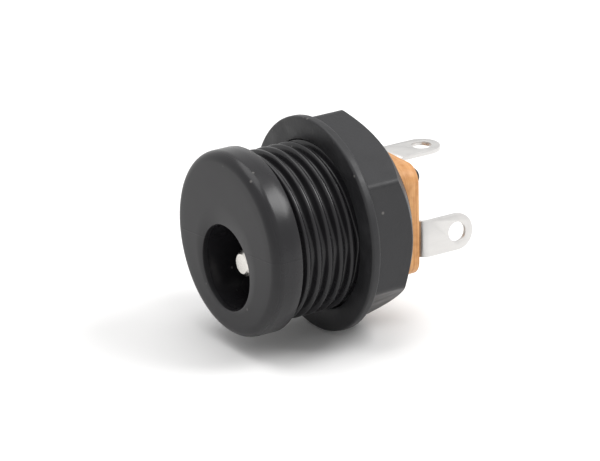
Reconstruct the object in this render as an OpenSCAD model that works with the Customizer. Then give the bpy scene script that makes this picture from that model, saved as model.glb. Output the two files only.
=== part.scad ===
// Panel-mount DC barrel jack with a hex nut and three solder tags.
// Frame: the barrel runs along +Y, the panel seat is at y = 0, the plug enters from -Y, +Z is up.

/* [Housing] */
// Diameter of the front flange
flange_d = 14; // [13.8:0.1:16]
// Thickness of the front flange
flange_t = 2.35; // [1.6:0.05:4]
// Rounding of the flange's front edge
flange_round = 0.8; // [0.2:0.05:1.2]
// Small bevel on the flange's rear edge
flange_bevel = 0.15; // [0.05:0.05:0.25]
// Outside diameter of the threaded barrel
barrel_d = 12.8; // [12.4:0.05:13.2]
// Length of the barrel behind the panel seat
barrel_len = 10.3; // [9.8:0.1:14]
// Lead-in bevel at the end of the barrel
barrel_bevel = 0.66; // [0.2:0.02:0.9]

/* [Socket] */
// Diameter of the plug hole
socket_d = 6.5; // [6:0.1:7]
// Drop of the plug hole below the barrel's axis
socket_drop = 1.75; // [1.4:0.05:2]
// Thickness of the shoulder at the back of the plug hole
shoulder_t = 1; // [0.5:0.1:1.5]
// Diameter of the hole through the shoulder
shoulder_hole_d = 4.6; // [4.4:0.1:4.9]
// Outside diameter of the plug that the springs are set for
plug_d = 5.5; // [5:0.05:5.8]

/* [Centre pin] */
// Diameter of the centre pin
pin_d = 2; // [1.3:0.05:2.5]
// Depth of the pin's tip below the flange's face
pin_recess = 1.35; // [0.5:0.05:3]
// Bevel around the pin's tip
pin_bevel = 0.25; // [0.1:0.05:0.4]
// Diameter of the collar that seats on the terminal plate
collar_d = 3.6; // [3:0.1:4.2]
// Thickness of the collar
collar_t = 1; // [0.5:0.1:2]
// Diameter of the riveted shank
shank_d = 1.5; // [1:0.05:1.7]
// Diameter of the peened head
peen_d = 2.4; // [2:0.1:2.6]
// Height of the peened head
peen_h = 0.45; // [0.3:0.05:0.8]

/* [Terminal plate] */
// Side of the square terminal plate
plate_side = 8.7; // [8.4:0.1:9.4]
// Corner radius of the terminal plate
plate_corner = 1.3; // [0.5:0.1:1.5]
// Thickness of the terminal plate
plate_t = 1.5; // [1:0.1:2.5]
// Clearance of the folded strips in the plate's slots
slot_gap = 0.1; // [0.05:0.01:0.15]
// Radial clearance around the rivet shank and the heat stakes
rivet_gap = 0.03; // [0.02:0.01:0.06]
// Diameter of the heat stakes
stake_d = 1; // [0.8:0.05:1.1]
// Sideways distance of the heat stakes from the axis
stake_x = 3.5; // [3.4:0.05:3.6]
// Height of the heat stakes above and below the axis
stake_z = 3.4; // [3.3:0.05:3.5]
// Diameter of the domed heads on the heat stakes
stake_head_d = 1.3; // [1.2:0.05:1.4]
// Height of the domed heads on the heat stakes
stake_head_h = 0.45; // [0.3:0.05:0.6]

/* [Solder tags] */
// Thickness of the tag strip
strip_t = 0.3; // [0.2:0.05:0.4]
// Width of the tags
tag_w = 2.8; // [2.2:0.1:3]
// Diameter of the wire hole
tag_hole_d = 1.5; // [1:0.1:1.6]
// Distance of the wire hole behind the terminal plate
tag_hole_back = 3.2; // [2.6:0.1:5]
// Outside radius of the fold between foot and tag
fold_r = 0.75; // [0.5:0.05:1]
// Distance of the side tags from the pin's axis
side_tag_out = 4.5; // [4.2:0.1:5]
// Height of the top tag above the barrel's axis
top_tag_up = 4; // [3.8:0.1:5]
// Turn of the pin's tag about the pin
pin_tag_turn = 5; // [0:1:8]
// Height of the switch tag's centre line above the pin's axis
switch_tag_rise = 0.55; // [0.3:0.05:0.7]

/* [Springs] */
// Width of the sleeve spring
spring_w = 2.4; // [2:0.1:2.6]
// Height of the sleeve spring where it leaves the plate
spring_up = 2.45; // [2.4:0.05:2.5]
// Length of the straight run in front of the plate
spring_straight = 1.7; // [1:0.1:2.5]
// Distance of the contact bend behind the panel seat
contact_y = 3.4; // [3:0.1:4.2]
// Bite of the contact bend into the plug's path
contact_bite = 0.4; // [0.2:0.05:0.6]
// Length of the turned-up lead-in
lead_in = 1.5; // [1:0.1:1.9]
// Rise of the turned-up lead-in
lead_rise = 0.9; // [0.5:0.05:1.1]
// Bend radius at the contact point
contact_bend = 0.8; // [0.4:0.1:1]
// Bend radius where the spring starts to slope
run_bend = 1; // [0.5:0.1:2]
// Width of the switch contact's arm
arm_w = 1.2; // [1:0.05:1.3]
// Sideways place of the arm's centre line
arm_x = 3; // [2.9:0.05:3.1]
// Distance of the switch finger's front edge behind the panel seat
finger_y = 6.9; // [6.6:0.1:7.4]
// Width of the switch finger along the barrel
finger_w = 0.8; // [0.5:0.1:1.2]
// Gap between the finger and the sleeve spring
finger_gap = 0.05; // [0.03:0.01:0.08]

/* [Spring pocket] */
// Floor of the pocket above the barrel's axis
pocket_low = 1.1; // [1:0.05:1.2]
// Ceiling of the pocket above the barrel's axis
pocket_high = 3.1; // [2.9:0.05:3.3]
// Front end of the pocket behind the panel seat
pocket_front = 1.2; // [0.8:0.1:1.6]
// Side clearance of the contacts in the pocket
pocket_side = 0.25; // [0.15:0.05:0.3]

/* [Hex nut] */
// Distance of the nut's front face behind the panel seat
nut_y = 5.2; // [0.5:0.1:5.6]
// Diameter of the washer rim
rim_d = 16.3; // [16:0.1:18]
// Thickness of the washer rim
rim_t = 0.75; // [0.5:0.05:1]
// Rounding of the rim's edges
rim_round = 0.2; // [0.1:0.02:0.3]
// Width across the flats
nut_af = 14.1; // [13.9:0.1:14.3]
// Rounding of the hexagon's corners
hex_round = 0.5; // [0.2:0.05:0.8]
// Height of the nut over everything
nut_h = 4.5; // [3.5:0.1:5]
// Angle of the bevel on the nut's rear corners
nut_bevel_angle = 40; // [25:1:45]
// Width of the flat ring left around the bore at the rear
nut_land = 0.1; // [0.05:0.01:0.2]
// Turn of the hexagon about the barrel
nut_turn = 35.6; // [0:0.1:60]
// Radial clearance between nut and barrel
nut_gap = 0.05; // [0.02:0.01:0.1]
// Lead-in bevel at both ends of the nut's bore
nut_lead = 0.12; // [0.05:0.01:0.2]

/* [Hidden] */

barrel_r = barrel_d / 2;
socket_z = -socket_drop;
nut_bore_r = barrel_r + nut_gap;
plate_front = barrel_len;
plate_rear = barrel_len + plate_t;
tag_hole_y = plate_rear + tag_hole_back;
fold_mid = fold_r - strip_t / 2;
strip_mid_y = plate_rear + strip_t / 2;
slot_fold = slot_gap + strip_t / 2;
arm_side = arm_x + arm_w / 2;
pocket_left = -arm_side - pocket_side;
pocket_right = spring_w / 2 + pocket_side;

// The sleeve spring's centre line, from the lead-in to the fold behind the plate, as [y, z].
spring_low = socket_z + plug_d / 2 - contact_bite + strip_t / 2;
spring_back = barrel_len - spring_straight;
spring_line = [
    [contact_y - lead_in, spring_low + lead_rise],
    [contact_y, spring_low],
    [spring_back, spring_up],
    [strip_mid_y, spring_up],
    [strip_mid_y, spring_up + 2 * slot_fold]
];
spring_bends = [0, contact_bend, run_bend, slot_fold, 0];
tag_line = [
    [strip_mid_y, spring_up + slot_fold],
    [strip_mid_y, top_tag_up],
    [plate_rear + fold_r + strip_t, top_tag_up]
];
tag_bends = [0, fold_mid, 0];

// The sloping run's underside at a given y, and the finger's top just under it.
slope = (spring_up - spring_low) / (spring_back - contact_y);
function under_spring(y) = spring_low + slope * (y - contact_y)
    - strip_t / 2 * sqrt(1 + slope * slope);
finger_top = under_spring(finger_y) - finger_gap;
arm_mid = finger_top - strip_t / 2;
arm_line = [
    [finger_y, arm_mid],
    [strip_mid_y, arm_mid],
    [strip_mid_y, arm_mid - 2 * slot_fold]
];
arm_bends = [0, slot_fold, 0];
switch_tag_z = socket_z + switch_tag_rise;

// ---- path helpers: a line with rounded corners, thickened to a strip ----
function unit(v) = v / norm(v);
function corner_points(a, b, c, r) =
    let (
        u = unit(b - a),
        w = unit(c - b),
        turn = u.x * w.y - u.y * w.x > 0 ? 1 : -1,
        ang = acos(u * w),
        back = r * tan(ang / 2),
        start = b - u * back,
        centre = start + turn * r * [-u.y, u.x],
        from = atan2(start.y - centre.y, start.x - centre.x),
        steps = max(2, ceil(ang / 10))
    )
    [for (i = [0:steps]) centre + r * [
        cos(from + turn * ang * i / steps),
        sin(from + turn * ang * i / steps)
    ]];
function rounded_line(pts, bends) = [
    for (i = [0:len(pts) - 1])
        each (i == 0 || i == len(pts) - 1 || bends[i] == 0)
            ? [pts[i]]
            : corner_points(pts[i - 1], pts[i], pts[i + 1], bends[i])
];
function side_step(line, i) =
    let (
        a = unit(line[max(i, 1)] - line[max(i, 1) - 1]),
        j = min(i + 1, len(line) - 1),
        b = unit(line[j] - line[j - 1]),
        m = unit(a + b)
    )
    [-m.y, m.x] / (m * a);
function thick_line(line, t) = concat(
    [for (i = [0:len(line) - 1]) line[i] + side_step(line, i) * t / 2],
    [for (i = [len(line) - 1:-1:0]) line[i] - side_step(line, i) * t / 2]
);

// ---- placing helpers ----
// A flat shape drawn in X and Z, filled from y0 to y1.
module across(y0, y1) {
    translate([0, y1, 0])
        rotate([90, 0, 0])
            linear_extrude(y1 - y0)
                children();
}

// A strip drawn in Y and Z, filled w wide about x = 0.
module strip_yz(w) {
    translate([-w / 2, 0, 0])
        rotate([90, 0, 90])
            linear_extrude(w)
                children();
}

// A profile of radius and length, turned about the Y axis.
module turned() {
    rotate([-90, 0, 0])
        rotate_extrude($fn = 96)
            children();
}

// A round bar or hole along Y.
module bar(d, y0, y1) {
    translate([0, y0, 0])
        rotate([-90, 0, 0])
            cylinder(d = d, h = y1 - y0, $fn = 64);
}

module at_both_stakes() {
    for (s = [-1, 1])
        translate([s * stake_x, 0, s * stake_z])
            children();
}

// ---- housing ----
module flange_profile() {
    flat_r = flange_d / 2 - flange_round;
    translate([0, -flange_t])
        square([flat_r, flange_t]);
    translate([flat_r, flange_round - flange_t])
        circle(flange_round, $fn = 64);
    polygon([
        [0, flange_round - flange_t],
        [flange_d / 2, flange_round - flange_t],
        [flange_d / 2, -flange_bevel],
        [flange_d / 2 - flange_bevel, 0],
        [0, 0]
    ]);
}

module barrel_profile() {
    polygon([
        [0, -flange_t / 2],
        [barrel_r, -flange_t / 2],
        [barrel_r, barrel_len - barrel_bevel],
        [barrel_r - barrel_bevel, barrel_len],
        [0, barrel_len]
    ]);
}

module stake() {
    head_r = stake_head_d / 2;
    dome_r = (head_r * head_r + stake_head_h * stake_head_h) / (2 * stake_head_h);
    bar(stake_d, barrel_len - plate_t / 2, plate_rear);
    translate([0, plate_rear, 0])
        rotate([-90, 0, 0])
            rotate_extrude($fn = 48)
                intersection() {
                    square([head_r, stake_head_h]);
                    translate([0, stake_head_h - dome_r])
                        circle(dome_r, $fn = 96);
                }
}

module housing() {
    color([0.09, 0.09, 0.1]) {
        difference() {
            turned() {
                flange_profile();
                barrel_profile();
            }
            translate([0, 0, socket_z]) {
                bar(socket_d, -flange_t - 1, barrel_len - shoulder_t);
                bar(shoulder_hole_d, barrel_len - shoulder_t - 1, barrel_len + 1);
            }
            translate([pocket_left, pocket_front, pocket_low])
                cube([
                    pocket_right - pocket_left,
                    barrel_len + 1 - pocket_front,
                    pocket_high - pocket_low
                ]);
        }
        at_both_stakes()
            stake();
    }
}

// ---- hex nut ----
// Straight flats with each corner rounded in short steps.
module hexagon(af, r) {
    reach = (af / 2 - r) / cos(30);
    polygon([
        for (a = [0:60:300], side = [-30:10:30])
            reach * [cos(a), sin(a)] + r * [cos(a + side), sin(a + side)]
    ]);
}

module rim_profile() {
    r = rim_d / 2;
    square([r - rim_round, rim_t]);
    translate([0, rim_round])
        square([r, rim_t - 2 * rim_round]);
    for (y = [rim_round, rim_t - rim_round])
        translate([r - rim_round, y])
            circle(rim_round, $fn = 48);
}

module nut_bevel_cut() {
    start = nut_bore_r + nut_lead + nut_land;
    drop = (rim_d - start) * tan(nut_bevel_angle);
    polygon([
        [start, nut_h],
        [rim_d, nut_h - drop],
        [rim_d, nut_h + 1],
        [start, nut_h + 1]
    ]);
}

module nut_bore_profile() {
    wide = nut_bore_r + nut_lead + 1;
    polygon([
        [0, -1],
        [wide, -1],
        [nut_bore_r, nut_lead],
        [nut_bore_r, nut_h - nut_lead],
        [wide, nut_h + 1],
        [0, nut_h + 1]
    ]);
}

module hex_nut() {
    color([0.14, 0.14, 0.15])
        translate([0, nut_y, 0])
            difference() {
                union() {
                    turned()
                        rim_profile();
                    rotate([0, -nut_turn, 0])
                        across(rim_t / 2, nut_h)
                            hexagon(nut_af, hex_round);
                }
                turned()
                    nut_bevel_cut();
                turned()
                    nut_bore_profile();
            }
}

// ---- terminal plate ----
module plate_outline() {
    s = plate_side / 2 - plate_corner;
    square([plate_side, 2 * s], center = true);
    square([2 * s, plate_side], center = true);
    for (x = [-s, s], z = [-s, s])
        translate([x, z])
            circle(plate_corner, $fn = 64);
}

module terminal_plate() {
    color([0.72, 0.45, 0.2])
        difference() {
            across(plate_front, plate_rear)
                plate_outline();
            translate([0, 0, socket_z])
                bar(shank_d + 2 * rivet_gap, plate_front - 1, plate_rear + 1);
            at_both_stakes()
                bar(stake_d + 2 * rivet_gap, plate_front - 1, plate_rear + 1);
            translate([-spring_w / 2 - slot_gap, plate_front - 1, spring_up - strip_t / 2])
                cube([spring_w + 2 * slot_gap, plate_t + 2, strip_t + slot_gap]);
            translate([-arm_side - slot_gap, plate_front - 1, arm_mid - strip_t / 2 - slot_gap])
                cube([arm_w + 2 * slot_gap, plate_t + 2, strip_t + slot_gap]);
        }
}

// ---- centre pin ----
module pin_profile() {
    tip = pin_recess - flange_t;
    collar_front = plate_front - collar_t;
    head = plate_rear + strip_t;
    polygon([
        [0, tip],
        [pin_d / 2 - pin_bevel, tip],
        [pin_d / 2, tip + pin_bevel],
        [pin_d / 2, collar_front],
        [collar_d / 2, collar_front],
        [collar_d / 2, plate_front],
        [shank_d / 2, plate_front],
        [shank_d / 2, head],
        [peen_d / 2, head],
        [peen_d / 2, head + peen_h * 0.4],
        [peen_d / 2 - peen_h * 0.6, head + peen_h],
        [0, head + peen_h]
    ]);
}

module centre_pin() {
    color([0.78, 0.76, 0.72])
        translate([0, 0, socket_z])
            turned()
                pin_profile();
}

// ---- solder tags ----
// The free end of a tag that points to +Y, drawn in Y and Z about the hole's centre line.
module tag_end() {
    difference() {
        union() {
            translate([plate_rear + fold_r, -tag_w / 2])
                square([tag_hole_back - fold_r, tag_w]);
            translate([tag_hole_y, 0])
                circle(tag_w / 2, $fn = 64);
        }
        translate([tag_hole_y, 0])
            circle(tag_hole_d / 2, $fn = 64);
    }
}

// A side tag in one strip: the foot from x = start along the plate, the fold and the tag.
module side_tag(start) {
    line = rounded_line([
        [start, strip_mid_y],
        [side_tag_out, strip_mid_y],
        [side_tag_out, plate_rear + fold_r + strip_t]
    ], [0, fold_mid, 0]);
    translate([0, 0, -tag_w / 2])
        linear_extrude(tag_w)
            polygon(thick_line(line, strip_t));
    translate([side_tag_out - strip_t / 2, 0, 0])
        rotate([90, 0, 90])
            linear_extrude(strip_t)
                tag_end();
}

module pin_tag() {
    color([0.75, 0.75, 0.74])
        translate([0, 0, socket_z])
            rotate([0, -pin_tag_turn, 0])
                difference() {
                    union() {
                        bar(tag_w, plate_rear, plate_rear + strip_t);
                        side_tag(0);
                    }
                    bar(shank_d + 2 * rivet_gap, plate_rear - strip_t, plate_rear + 2 * strip_t);
                }
}

// ---- sleeve spring with the top tag ----
module sleeve_spring() {
    color([0.75, 0.75, 0.74]) {
        strip_yz(spring_w)
            polygon(thick_line(rounded_line(spring_line, spring_bends), strip_t));
        strip_yz(tag_w)
            polygon(thick_line(rounded_line(tag_line, tag_bends), strip_t));
        translate([0, 0, top_tag_up - strip_t / 2])
            rotate(90)
                linear_extrude(strip_t)
                    tag_end();
    }
}

// ---- switch contact with the third tag ----
module switch_contact() {
    foot_low = switch_tag_z - tag_w / 2;
    color([0.75, 0.75, 0.74]) {
        // the arm through the plate, folded down behind it
        translate([-arm_x, 0, 0])
            strip_yz(arm_w)
                polygon(thick_line(rounded_line(arm_line, arm_bends), strip_t));
        // the finger across to the sleeve spring
        translate([-arm_side, finger_y, arm_mid - strip_t / 2])
            cube([arm_side + spring_w / 2, finger_w, strip_t]);
        // the leg down the plate to the tag's foot
        translate([-arm_side, plate_rear, foot_low])
            cube([arm_w, strip_t, arm_mid - slot_fold - foot_low]);
        translate([0, 0, switch_tag_z])
            mirror([1, 0, 0])
                side_tag(arm_x - arm_w / 2);
    }
}

housing();
hex_nut();
terminal_plate();
centre_pin();
pin_tag();
sleeve_spring();
switch_contact();
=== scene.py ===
import math

import bpy
from mathutils import Matrix, Vector


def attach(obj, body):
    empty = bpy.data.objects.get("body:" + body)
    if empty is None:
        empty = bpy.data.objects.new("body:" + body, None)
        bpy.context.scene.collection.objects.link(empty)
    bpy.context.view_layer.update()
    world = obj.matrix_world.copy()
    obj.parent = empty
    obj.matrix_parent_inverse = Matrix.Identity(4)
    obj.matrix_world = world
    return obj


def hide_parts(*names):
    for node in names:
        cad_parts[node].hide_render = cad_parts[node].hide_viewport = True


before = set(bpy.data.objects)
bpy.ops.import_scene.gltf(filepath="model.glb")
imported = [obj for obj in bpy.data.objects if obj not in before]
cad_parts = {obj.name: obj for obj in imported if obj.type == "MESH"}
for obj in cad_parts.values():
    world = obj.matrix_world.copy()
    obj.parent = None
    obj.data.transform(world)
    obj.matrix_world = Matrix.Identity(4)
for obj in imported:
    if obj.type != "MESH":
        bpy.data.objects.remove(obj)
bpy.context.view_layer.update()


# ---------------------------------------------------------------------------
# Moulded housing: one black injection moulding with the front flange, the
# threaded barrel, the plug hole, the spring pocket and two heat stakes.
# The thread comes from a split mould, so a thin parting line runs along it.
# ---------------------------------------------------------------------------
MM = 0.001                     # pieces are shaped in millimetres and then brought to metres
FLANGE_R = 7.0
FLANGE_T = 2.35
FACE_ROUND = 0.8
CREST_R = 6.4
ROOT_R = 5.86
PITCH = 0.96
BARREL_END = 10.3
END_R = 5.74
HOLE_R = 3.25
HOLE_Z = -1.75
AROUND = 240
THREAD_CUTS = 205              # rows of points along the barrel
SEAM_AZIMUTH = 5.2             # the mould's parting line, in degrees from X towards Z
POCKET = ((-3.85, 1.2, 1.1), (1.45, 11.0, 3.1))
STAKE_X = 3.5
STAKE_Z = 3.4
STAKE_R = 0.5


def start_clean():
    """Leaves edit mode with nothing selected."""
    if bpy.context.mode != "OBJECT":
        bpy.ops.object.mode_set(mode="OBJECT")
    bpy.ops.object.select_all(action="DESELECT")


def edit(piece, kind="VERT"):
    """Opens one piece in edit mode with nothing selected."""
    start_clean()
    piece.select_set(True)
    bpy.context.view_layer.objects.active = piece
    bpy.ops.object.mode_set(mode="EDIT")
    bpy.ops.mesh.select_mode(type=kind)
    bpy.ops.mesh.select_all(action="DESELECT")


def pick(piece, test, part="vertices"):
    """Selects the points, edges or faces of the open piece that pass the test."""
    bpy.ops.mesh.select_all(action="DESELECT")
    bpy.ops.object.mode_set(mode="OBJECT")
    for item in getattr(piece.data, part):
        item.select = bool(test(item))
    bpy.ops.object.mode_set(mode="EDIT")


def modify(piece, kind, **settings):
    """Adds a modifier and applies it."""
    start_clean()
    piece.select_set(True)
    bpy.context.view_layer.objects.active = piece
    step = piece.modifiers.new(kind.title(), kind)
    for key, value in settings.items():
        setattr(step, key, value)
    bpy.ops.object.modifier_apply(modifier=step.name)


def cut_or_join(piece, tool, operation):
    """Cuts, joins or intersects a piece with a tool body and removes the tool."""
    modify(piece, "BOOLEAN", object=tool, operation=operation, solver="EXACT")
    bpy.data.objects.remove(tool, do_unlink=True)


def bring_home(piece, smooth_angle=30):
    """Millimetres to metres, place into the mesh, normals outward, smooth shading."""
    start_clean()
    piece.select_set(True)
    bpy.context.view_layer.objects.active = piece
    bpy.ops.transform.resize(value=(MM, MM, MM), center_override=(0, 0, 0))
    bpy.ops.object.transform_apply(location=True, rotation=True, scale=True)
    bpy.ops.object.mode_set(mode="EDIT")
    bpy.ops.mesh.select_all(action="SELECT")
    bpy.ops.mesh.normals_make_consistent(inside=False)
    bpy.ops.object.mode_set(mode="OBJECT")
    bpy.ops.object.shade_smooth_by_angle(angle=math.radians(smooth_angle))
    piece.select_set(False)


def bar(radius, y0, y1, x=0.0, z=0.0, sides=64, name="bar"):
    """A round bar along the barrel, from y0 to y1."""
    start_clean()
    bpy.ops.mesh.primitive_cylinder_add(
        vertices=sides, radius=radius, depth=y1 - y0,
        location=(x, (y0 + y1) / 2, z), rotation=(-math.pi / 2, 0, 0))
    made = bpy.context.object
    made.name = name
    bpy.ops.object.transform_apply(location=True, rotation=True, scale=True)
    return made


def block(low, high, name="block"):
    """A rectangular block between two corners."""
    start_clean()
    size = [b - a for a, b in zip(low, high)]
    bpy.ops.mesh.primitive_cube_add(
        size=1, location=[(a + b) / 2 for a, b in zip(low, high)], scale=size)
    made = bpy.context.object
    made.name = name
    bpy.ops.object.transform_apply(location=True, rotation=True, scale=True)
    return made


def ease(low, high, value):
    """0 below low, 1 above high, smooth between."""
    t = min(1.0, max(0.0, (value - low) / (high - low)))
    return t * t * (3 - 2 * t)


def thread_radius(azimuth, y):
    """Radius of the thread at an azimuth in degrees (X towards Z) and a place on the barrel."""
    turns = (y - 0.70) / PITCH + (azimuth - 50.5) / 360
    wave = math.tanh(1.5 * math.cos(2 * math.pi * turns)) / math.tanh(1.5)
    depth = CREST_R - ROOT_R
    from_seam = abs((azimuth - SEAM_AZIMUTH + 90) % 180 - 90)
    shallow = 1 - 0.35 * math.exp(-(from_seam / 12) ** 2)
    groove = depth * (0.5 - 0.5 * wave) * shallow
    groove *= ease(0.04, 0.22, y)
    radius = CREST_R - groove
    if y > BARREL_END - 0.7:
        radius = min(radius, CREST_R - 0.02 - (y - (BARREL_END - 0.66)))
    return max(radius, END_R if y > BARREL_END - 0.001 else 0)


start_clean()
bpy.ops.mesh.primitive_cylinder_add(
    vertices=AROUND, radius=CREST_R, depth=BARREL_END, end_fill_type="NOTHING",
    location=(0, BARREL_END / 2, 0), rotation=(-math.pi / 2, 0, 0))
housing = bpy.context.object
housing.name = "moulded_housing"
bpy.ops.object.transform_apply(location=True, rotation=True, scale=True)

# rows for the thread, then each point goes to the thread's own radius
edit(housing, "EDGE")
bpy.ops.mesh.select_all(action="SELECT")
pick(housing, lambda e: abs(housing.data.vertices[e.vertices[0]].co.y
                            - housing.data.vertices[e.vertices[1]].co.y) > 1, "edges")
bpy.ops.mesh.subdivide_edgering(number_cuts=THREAD_CUTS, interpolation="LINEAR", smoothness=0)
bpy.ops.object.mode_set(mode="OBJECT")
for point in housing.data.vertices:
    azimuth = math.degrees(math.atan2(point.co.z, point.co.x))
    r = thread_radius(azimuth, point.co.y)
    if point.co.y < 0.01:
        r = CREST_R
    if point.co.y > BARREL_END - 0.01:
        r = END_R
    point.co.x = r * math.cos(math.radians(azimuth))
    point.co.z = r * math.sin(math.radians(azimuth))

# the flange, the face, the plug hole and the back, drawn out ring by ring
edit(housing, "VERT")
pick(housing, lambda v: v.co.y < 0.01)
ring = {"y": 0.0, "r": CREST_R, "z": 0.0}


def ring_to(y, r, z=0.0):
    """Extrudes the open ring and brings the new one to its place, radius and height."""
    bpy.ops.mesh.extrude_region_move(
        TRANSFORM_OT_translate={"value": (0, y - ring["y"], z - ring["z"])})
    grow = r / ring["r"]
    bpy.ops.transform.resize(value=(grow, 1, grow), center_override=(0, y, z))
    ring.update(y=y, r=r, z=z)


ring_to(0.0, FLANGE_R - 0.15)
ring_to(-0.05, FLANGE_R - 0.05)
ring_to(-0.15, FLANGE_R)
ring_to(-0.8, FLANGE_R)
for step in range(0, 10):
    turn = math.radians(90 * step / 9)
    ring_to(-FLANGE_T + FACE_ROUND * (1 - math.sin(turn)),
            FLANGE_R - FACE_ROUND * (1 - math.cos(turn)))
ring_to(-FLANGE_T, 5.6, -0.3)
ring_to(-FLANGE_T, 4.2, -1.1)
ring_to(-FLANGE_T, HOLE_R + 0.07, HOLE_Z)
ring_to(-FLANGE_T + 0.02, HOLE_R + 0.02, HOLE_Z)
ring_to(-FLANGE_T + 0.08, HOLE_R, HOLE_Z)
ring_to(1.0, HOLE_R, HOLE_Z)
ring_to(BARREL_END - 1.0, HOLE_R, HOLE_Z)
ring_to(BARREL_END - 1.0, 2.3, HOLE_Z)
ring_to(BARREL_END, 2.3, HOLE_Z)
ring_to(BARREL_END, END_R, 0.0)
bpy.ops.mesh.select_all(action="SELECT")
bpy.ops.mesh.remove_doubles(threshold=0.002)
bpy.ops.mesh.normals_make_consistent(inside=False)
start_clean()

# the pocket that the contacts stand in, open to the plug hole and to the back
cut_or_join(housing, block(*POCKET), "DIFFERENCE")

# two heat stakes with domed heads hold the terminal plate
for side in (-1, 1):
    stake = bar(STAKE_R, 9.6, 12.25, side * STAKE_X, side * STAKE_Z, sides=32, name="stake")
    edit(stake, "FACE")
    pick(stake, lambda f: f.normal.y > 0.9, "polygons")
    # the top goes down to the plate, then the head is drawn out from it
    bpy.ops.transform.translate(value=(0, 11.8 - 12.25, 0))
    reach = {"y": 11.8, "r": STAKE_R}
    for y, r in ((11.8, 0.65), (12.0, 0.6), (12.14, 0.45), (12.22, 0.25)):
        bpy.ops.mesh.extrude_region_move(
            TRANSFORM_OT_translate={"value": (0, y - reach["y"], 0)})
        grow = r / reach["r"]
        bpy.ops.transform.resize(value=(grow, 1, grow),
                                 center_override=(side * STAKE_X, y, side * STAKE_Z))
        reach = {"y": y, "r": r}
    cut_or_join(housing, stake, "UNION")

bring_home(housing, 35)


def marks_group():
    """Moulding marks shared by the plastics: soft mottling, fine grain and light dust specks."""
    group = bpy.data.node_groups.new("moulding_marks", "ShaderNodeTree")
    for name, kind, value in (("Mottle Scale", "NodeSocketFloat", 300.0),
                              ("Grain Scale", "NodeSocketFloat", 2500.0),
                              ("Dust Scale", "NodeSocketFloat", 1500.0),
                              ("Dust Amount", "NodeSocketFloat", 0.1)):
        socket = group.interface.new_socket(name=name, in_out="INPUT", socket_type=kind)
        socket.default_value = value
    for name in ("Mottle", "Grain", "Dust"):
        group.interface.new_socket(name=name, in_out="OUTPUT", socket_type="NodeSocketFloat")
    nodes, link = group.nodes, group.links.new
    come = nodes.new("NodeGroupInput")
    go = nodes.new("NodeGroupOutput")
    place = nodes.new("ShaderNodeTexCoord")
    for name, scale, detail in (("Mottle", "Mottle Scale", 4), ("Grain", "Grain Scale", 2)):
        noise = nodes.new("ShaderNodeTexNoise")
        noise.inputs["Detail"].default_value = detail
        link(place.outputs["Object"], noise.inputs["Vector"])
        link(come.outputs[scale], noise.inputs["Scale"])
        link(noise.outputs["Fac"], go.inputs[name])
    cells = nodes.new("ShaderNodeTexVoronoi")
    cells.feature = "F1"
    link(place.outputs["Object"], cells.inputs["Vector"])
    link(come.outputs["Dust Scale"], cells.inputs["Scale"])
    size = nodes.new("ShaderNodeSeparateColor")
    link(cells.outputs["Color"], size.inputs["Color"])
    few = nodes.new("ShaderNodeMath")
    few.operation = "LESS_THAN"
    link(size.outputs[0], few.inputs[0])
    link(come.outputs["Dust Amount"], few.inputs[1])
    near = nodes.new("ShaderNodeMapRange")
    near.inputs["From Min"].default_value = 0.28
    near.inputs["From Max"].default_value = 0.12
    link(cells.outputs["Distance"], near.inputs["Value"])
    both = nodes.new("ShaderNodeMath")
    both.operation = "MULTIPLY"
    link(few.outputs[0], both.inputs[0])
    link(near.outputs["Result"], both.inputs[1])
    link(both.outputs[0], go.inputs["Dust"])
    return group


marks = marks_group()


def new_material(name):
    """A material with its shader, ready for a finish."""
    made = bpy.data.materials.new(name)
    made.use_nodes = True
    nodes = made.node_tree.nodes
    return made, nodes, made.node_tree.links.new, nodes["Principled BSDF"]


def math_node(nodes, link, operation, a, b, c=None):
    """One sum; each input is a number or a socket."""
    node = nodes.new("ShaderNodeMath")
    node.operation = operation
    for slot, value in enumerate((a, b, c)):
        if value is None:
            continue
        if isinstance(value, (int, float)):
            node.inputs[slot].default_value = value
        else:
            link(value, node.inputs[slot])
    return node.outputs[0]


def mix_colour(nodes, link, factor, a, b):
    """A mix of two colours by a factor socket."""
    node = nodes.new("ShaderNodeMix")
    node.data_type = "RGBA"
    link(factor, node.inputs["Factor"])
    for slot, value in (("A", a), ("B", b)):
        socket = [s for s in node.inputs if s.name == slot and s.type == "RGBA"][0]
        if isinstance(value, tuple):
            socket.default_value = (*value, 1)
        else:
            link(value, socket)
    return [s for s in node.outputs if s.type == "RGBA"][0]


def map_range(nodes, link, value, low, high, to_low, to_high):
    """Maps a socket's value from one range to another."""
    node = nodes.new("ShaderNodeMapRange")
    for name, number in (("From Min", low), ("From Max", high),
                         ("To Min", to_low), ("To Max", to_high)):
        node.inputs[name].default_value = number
    link(value, node.inputs["Value"])
    return node.outputs["Result"]


black, nodes, link, shader = new_material("moulded_black")
place = nodes.new("ShaderNodeTexCoord")
apart = nodes.new("ShaderNodeSeparateXYZ")
link(place.outputs["Object"], apart.inputs[0])
mark = nodes.new("ShaderNodeGroup")
mark.node_tree = marks
mark.inputs["Mottle Scale"].default_value = 420
mark.inputs["Grain Scale"].default_value = 5200
mark.inputs["Dust Scale"].default_value = 2100
mark.inputs["Dust Amount"].default_value = 0.018
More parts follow.
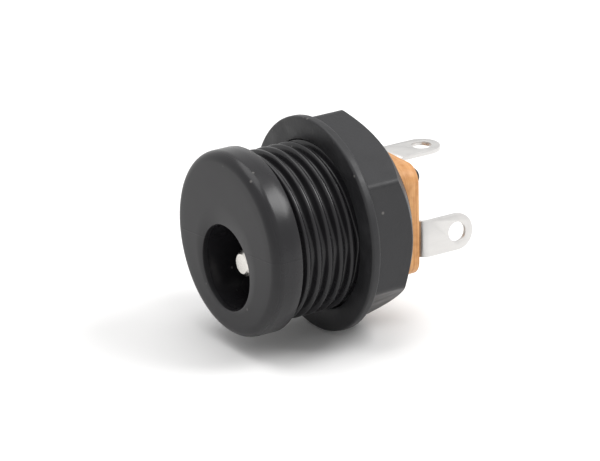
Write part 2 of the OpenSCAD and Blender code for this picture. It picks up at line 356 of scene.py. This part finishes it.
# the face is satin, the turned-away sides are glossier
on_face = map_range(nodes, link, apart.outputs["Y"], -0.0019, -0.0023, 0, 1)
rough = math_node(nodes, link, "MULTIPLY_ADD", on_face, 0.16, 0.2)
rough = math_node(nodes, link, "MULTIPLY_ADD", mark.outputs["Mottle"], 0.12, rough)
rough = math_node(nodes, link, "MULTIPLY_ADD", mark.outputs["Dust"], 0.4, rough)
link(rough, shader.inputs["Roughness"])
tone = mix_colour(nodes, link, mark.outputs["Mottle"], (0.009, 0.009, 0.010), (0.017, 0.016, 0.018))
dusty = mix_colour(nodes, link, mark.outputs["Dust"], tone, (0.12, 0.115, 0.11))
link(dusty, shader.inputs["Base Color"])
# thin parting lines along both sides of the barrel
seam = math_node(nodes, link, "ARCTAN2", apart.outputs["Z"], apart.outputs["X"])
seam = math_node(nodes, link, "SUBTRACT", seam, math.radians(SEAM_AZIMUTH))
seam = math_node(nodes, link, "SINE", seam, 0)
seam = math_node(nodes, link, "ABSOLUTE", seam, 0)
seam = map_range(nodes, link, seam, 0.004, 0.011, 1, 0)
height = math_node(nodes, link, "MULTIPLY_ADD", mark.outputs["Grain"], 0.12, 0)
height = math_node(nodes, link, "MULTIPLY_ADD", mark.outputs["Dust"], 0.6, height)
height = math_node(nodes, link, "MULTIPLY_ADD", seam, 1.0, height)
bump = nodes.new("ShaderNodeBump")
bump.inputs["Strength"].default_value = 0.35
bump.inputs["Distance"].default_value = 0.00003
link(height, bump.inputs["Height"])
link(bump.outputs["Normal"], shader.inputs["Normal"])
shader.inputs["IOR"].default_value = 1.5
shader.inputs["Specular IOR Level"].default_value = 0.3
housing.data.materials.clear()
housing.data.materials.append(black)
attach(housing, "jack")
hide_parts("housing")


# ---------------------------------------------------------------------------
# Hex nut: black moulded nylon with its washer rim in one piece. The corners
# are slightly round and the rear is bevelled. It is spun onto the thread.
# ---------------------------------------------------------------------------
NUT_FRONT = 5.2
NUT_H = 4.5
NUT_AF = 14.1
NUT_TURN = 35.6
RIM_R = 8.15
RIM_T = 0.75
REAR_R = 6.67                  # radius where the rear bevel meets the back
BEVEL_ANGLE = 40
NUT_BORE_R = 6.45

start_clean()
bpy.ops.mesh.primitive_cylinder_add(
    vertices=6, radius=NUT_AF / 2 / math.cos(math.pi / 6), depth=NUT_H - 0.3,
    location=(0, NUT_FRONT + 0.3 + (NUT_H - 0.3) / 2, 0), rotation=(-math.pi / 2, 0, 0))
nut = bpy.context.object
nut.name = "hex_nut_body"
bpy.ops.object.transform_apply(location=True, rotation=True, scale=True)
# a corner of the hexagon is brought to its place round the barrel
corner = math.degrees(math.atan2(nut.data.vertices[0].co.z, nut.data.vertices[0].co.x))
nut.data.transform(Matrix.Rotation(-math.radians(NUT_TURN - corner), 4, "Y"))
edit(nut, "EDGE")
pick(nut, lambda e: abs(nut.data.vertices[e.vertices[0]].co.y
                        - nut.data.vertices[e.vertices[1]].co.y) > 1, "edges")
bpy.ops.mesh.bevel(offset=0.29, segments=5, affect="EDGES")
start_clean()

# the rear bevel is turned: the hexagon is cut to a cone
cone_len = NUT_H + 1
bpy.ops.mesh.primitive_cone_add(
    vertices=160, radius1=REAR_R + cone_len / math.tan(math.radians(BEVEL_ANGLE)),
    radius2=REAR_R, depth=cone_len, location=(0, NUT_FRONT + NUT_H - cone_len / 2, 0),
    rotation=(-math.pi / 2, 0, 0))
cone = bpy.context.object
bpy.ops.object.transform_apply(location=True, rotation=True, scale=True)
cut_or_join(nut, cone, "INTERSECT")

rim = bar(RIM_R, NUT_FRONT, NUT_FRONT + RIM_T, sides=160, name="rim")
edit(rim, "EDGE")
pick(rim, lambda e: abs(rim.data.vertices[e.vertices[0]].co.y
                        - rim.data.vertices[e.vertices[1]].co.y) < 0.1, "edges")
bpy.ops.mesh.bevel(offset=0.2, segments=5, affect="EDGES")
start_clean()
cut_or_join(nut, rim, "UNION")
bore = bar(NUT_BORE_R, NUT_FRONT - 1, NUT_FRONT + NUT_H + 1, sides=160, name="bore")
cut_or_join(nut, bore, "DIFFERENCE")
modify(nut, "BEVEL", width=0.07, segments=2, limit_method="ANGLE",
       angle_limit=math.radians(35), use_clamp_overlap=True)
bring_home(nut, 35)

nylon, nodes, link, shader = new_material("nut_nylon")
mark = nodes.new("ShaderNodeGroup")
mark.node_tree = marks
mark.inputs["Mottle Scale"].default_value = 700
mark.inputs["Grain Scale"].default_value = 3600
mark.inputs["Dust Scale"].default_value = 1900
mark.inputs["Dust Amount"].default_value = 0.025
rough = map_range(nodes, link, mark.outputs["Mottle"], 0.3, 0.7, 0.36, 0.55)
rough = math_node(nodes, link, "MULTIPLY_ADD", mark.outputs["Dust"], 0.3, rough)
link(rough, shader.inputs["Roughness"])
tone = mix_colour(nodes, link, mark.outputs["Mottle"], (0.012, 0.012, 0.013), (0.028, 0.028, 0.03))
dusty = mix_colour(nodes, link, mark.outputs["Dust"], tone, (0.12, 0.115, 0.11))
link(dusty, shader.inputs["Base Color"])
height = math_node(nodes, link, "MULTIPLY_ADD", mark.outputs["Grain"], 0.6, 0)
height = math_node(nodes, link, "MULTIPLY_ADD", mark.outputs["Mottle"], 0.5, height)
bump = nodes.new("ShaderNodeBump")
bump.inputs["Strength"].default_value = 0.4
bump.inputs["Distance"].default_value = 0.00005
link(height, bump.inputs["Height"])
link(bump.outputs["Normal"], shader.inputs["Normal"])
shader.inputs["Specular IOR Level"].default_value = 0.3
nut.data.materials.clear()
nut.data.materials.append(nylon)
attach(nut, "nut")
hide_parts("hex_nut")


# ---------------------------------------------------------------------------
# Terminal plate: a square of tan paper laminate with round corners, punched
# for the pin, the two strips and the stakes. It closes the housing's back.
# ---------------------------------------------------------------------------
def eased_copy(node, name, width, body="jack", angle=40, segments=2):
    """A copy of a CAD node with its edges softened, which stands for the node."""
    start_clean()
    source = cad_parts[node]
    made = source.copy()
    made.data = source.data.copy()
    made.name = name
    made.parent = None
    made.matrix_world = Matrix.Identity(4)
    bpy.context.scene.collection.objects.link(made)
    made.data.transform(Matrix.Scale(1 / MM, 4))
    edit(made)
    bpy.ops.mesh.select_all(action="SELECT")
    bpy.ops.mesh.remove_doubles(threshold=0.001)
    bpy.ops.mesh.customdata_custom_splitnormals_clear()
    bpy.ops.mesh.dissolve_limited(angle_limit=math.radians(1), delimit={"NORMAL"})
    start_clean()
    modify(made, "BEVEL", width=width, segments=segments, limit_method="ANGLE",
           angle_limit=math.radians(angle), use_clamp_overlap=True)
    bring_home(made, 40)
    made.data.materials.clear()
    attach(made, body)
    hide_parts(node)
    return made


plate = eased_copy("terminal_plate", "terminal_plate_tan", 0.05)
laminate, nodes, link, shader = new_material("tan_laminate")
place = nodes.new("ShaderNodeTexCoord")
layers = nodes.new("ShaderNodeMapping")
layers.inputs["Scale"].default_value = (300, 6500, 300)
link(place.outputs["Object"], layers.inputs["Vector"])
sheet = nodes.new("ShaderNodeTexNoise")
sheet.inputs["Scale"].default_value = 1.0
sheet.inputs["Detail"].default_value = 3
link(layers.outputs["Vector"], sheet.inputs["Vector"])
fibre = nodes.new("ShaderNodeTexNoise")
fibre.inputs["Scale"].default_value = 2600
fibre.inputs["Detail"].default_value = 5
link(place.outputs["Object"], fibre.inputs["Vector"])
mixed = math_node(nodes, link, "MULTIPLY_ADD", sheet.outputs["Fac"], 0.6, 0)
mixed = math_node(nodes, link, "MULTIPLY_ADD", fibre.outputs["Fac"], 0.4, mixed)
shade = map_range(nodes, link, mixed, 0.3, 0.7, 0, 1)
tan = mix_colour(nodes, link, shade, (0.42, 0.17, 0.045), (0.68, 0.36, 0.14))
link(tan, shader.inputs["Base Color"])
link(map_range(nodes, link, mixed, 0.3, 0.7, 0.62, 0.4), shader.inputs["Roughness"])
bump = nodes.new("ShaderNodeBump")
bump.inputs["Strength"].default_value = 0.4
bump.inputs["Distance"].default_value = 0.00004
link(mixed, bump.inputs["Height"])
link(bump.outputs["Normal"], shader.inputs["Normal"])
plate.data.materials.append(laminate)


# ---------------------------------------------------------------------------
# Centre pin: turned brass with a bright nickel finish. Its collar seats on
# the plate, and its shank goes through and is peened over the pin's tag.
# ---------------------------------------------------------------------------
pin = eased_copy("centre_pin", "centre_pin_nickel", 0.03, angle=50)
nickel, nodes, link, shader = new_material("bright_nickel")
place = nodes.new("ShaderNodeTexCoord")
rings = nodes.new("ShaderNodeTexNoise")
rings.inputs["Scale"].default_value = 1.0
turned = nodes.new("ShaderNodeMapping")
turned.inputs["Scale"].default_value = (200, 30000, 200)
link(place.outputs["Object"], turned.inputs["Vector"])
link(turned.outputs["Vector"], rings.inputs["Vector"])
link(map_range(nodes, link, rings.outputs["Fac"], 0.3, 0.7, 0.16, 0.3), shader.inputs["Roughness"])
bright = mix_colour(nodes, link, rings.outputs["Fac"], (0.62, 0.6, 0.56), (0.78, 0.76, 0.72))
link(bright, shader.inputs["Base Color"])
shader.inputs["Metallic"].default_value = 1.0
pin.data.materials.append(nickel)


# ---------------------------------------------------------------------------
# Solder tags and springs: pressed strips with a dull tin finish. One is
# riveted to the pin, one runs on into the sleeve spring, one is the switch.
# ---------------------------------------------------------------------------
tin, nodes, link, shader = new_material("dull_tin")
place = nodes.new("ShaderNodeTexCoord")
drawn = nodes.new("ShaderNodeMapping")
drawn.inputs["Scale"].default_value = (6000, 500, 6000)
link(place.outputs["Object"], drawn.inputs["Vector"])
grain = nodes.new("ShaderNodeTexNoise")
grain.inputs["Scale"].default_value = 1.0
grain.inputs["Detail"].default_value = 3
link(drawn.outputs["Vector"], grain.inputs["Vector"])
cloud = nodes.new("ShaderNodeTexNoise")
cloud.inputs["Scale"].default_value = 600
cloud.inputs["Detail"].default_value = 4
link(place.outputs["Object"], cloud.inputs["Vector"])
both = math_node(nodes, link, "MULTIPLY_ADD", grain.outputs["Fac"], 0.4, 0)
both = math_node(nodes, link, "MULTIPLY_ADD", cloud.outputs["Fac"], 0.6, both)
link(map_range(nodes, link, both, 0.3, 0.7, 0.3, 0.46), shader.inputs["Roughness"])
dull = mix_colour(nodes, link, both, (0.52, 0.51, 0.5), (0.68, 0.67, 0.655))
link(dull, shader.inputs["Base Color"])
shader.inputs["Metallic"].default_value = 1.0
bump = nodes.new("ShaderNodeBump")
bump.inputs["Strength"].default_value = 0.15
bump.inputs["Distance"].default_value = 0.00002
link(grain.outputs["Fac"], bump.inputs["Height"])
link(bump.outputs["Normal"], shader.inputs["Normal"])

for node, name in (("pin_tag", "pin_tag_tinned"), ("sleeve_spring", "sleeve_spring_tinned"),
                   ("switch_contact", "switch_contact_tinned")):
    strip = eased_copy(node, name, 0.035, angle=50)
    strip.data.materials.append(tin)


# ---------------------------------------------------------------------------
# Studio: a plain pale floor under the nut's rim, a pale surround, a soft
# lamp behind on the right, a larger one overhead, and a camera on the right.
# ---------------------------------------------------------------------------
start_clean()
floor_z = -0.00817
bpy.ops.mesh.primitive_plane_add(size=3, location=(0, 0, floor_z))
floor = bpy.context.object
floor.name = "floor"
bpy.ops.object.transform_apply(location=True, rotation=True, scale=True)
pale, nodes, link, shader = new_material("pale_floor")
shader.inputs["Base Color"].default_value = (0.93, 0.925, 0.92, 1)
shader.inputs["Roughness"].default_value = 0.7
floor.data.materials.append(pale)

world = bpy.data.worlds.new("surround")
bpy.context.scene.world = world
world.use_nodes = True
nodes, link = world.node_tree.nodes, world.node_tree.links.new
nodes.clear()
out = nodes.new("ShaderNodeOutputWorld")
path = nodes.new("ShaderNodeLightPath")
seen = math_node(nodes, link, "MAXIMUM", path.outputs["Is Camera Ray"],
                 path.outputs["Is Transmission Ray"])
seen = math_node(nodes, link, "MAXIMUM", seen, path.outputs["Is Glossy Ray"])
light = nodes.new("ShaderNodeBackground")
light.inputs["Color"].default_value = (1, 1, 1, 1)
light.inputs["Strength"].default_value = 0.62
white = nodes.new("ShaderNodeBackground")
white.inputs["Color"].default_value = (1, 1, 1, 1)
white.inputs["Strength"].default_value = 1.0
blend = nodes.new("ShaderNodeMixShader")
link(seen, blend.inputs["Fac"])
link(light.outputs[0], blend.inputs[1])
link(white.outputs[0], blend.inputs[2])
link(blend.outputs[0], out.inputs["Surface"])


def soft_lamp(name, place, size, power):
    """A soft lamp that points at the middle of the jack."""
    data = bpy.data.lights.new(name, "AREA")
    data.shape = "RECTANGLE"
    data.size, data.size_y = size
    data.energy = power
    lamp = bpy.data.objects.new(name, data)
    bpy.context.scene.collection.objects.link(lamp)
    lamp.location = place
    ahead = Vector((0, 0.005, 0)) - Vector(place)
    lamp.rotation_euler = ahead.to_track_quat("-Z", "Y").to_euler()


soft_lamp("key", (0.12, 0.16, 0.22), (0.14, 0.14), 0.55)
soft_lamp("top", (-0.05, -0.02, 0.3), (0.25, 0.25), 0.5)

camera_data = bpy.data.cameras.new("camera")
camera = bpy.data.objects.new("camera", camera_data)
bpy.context.scene.collection.objects.link(camera)
bpy.context.scene.camera = camera
camera_data.sensor_width = 36
camera_data.lens = 256.5
camera_data.clip_start = 0.01
camera_data.clip_end = 20
spot = Vector((0.249106, -0.152743, 0.112831))
ahead = Vector((-0.789899, 0.497439, -0.358628)).normalized()
above = Vector((-0.292211, 0.208832, 0.933275))
right = ahead.cross(above).normalized()
above = right.cross(ahead).normalized()
turn = Matrix((right, above, -ahead)).transposed().to_4x4()
camera.matrix_world = Matrix.Translation(spot) @ turn

view = bpy.context.scene.view_settings
view.view_transform = "Standard"
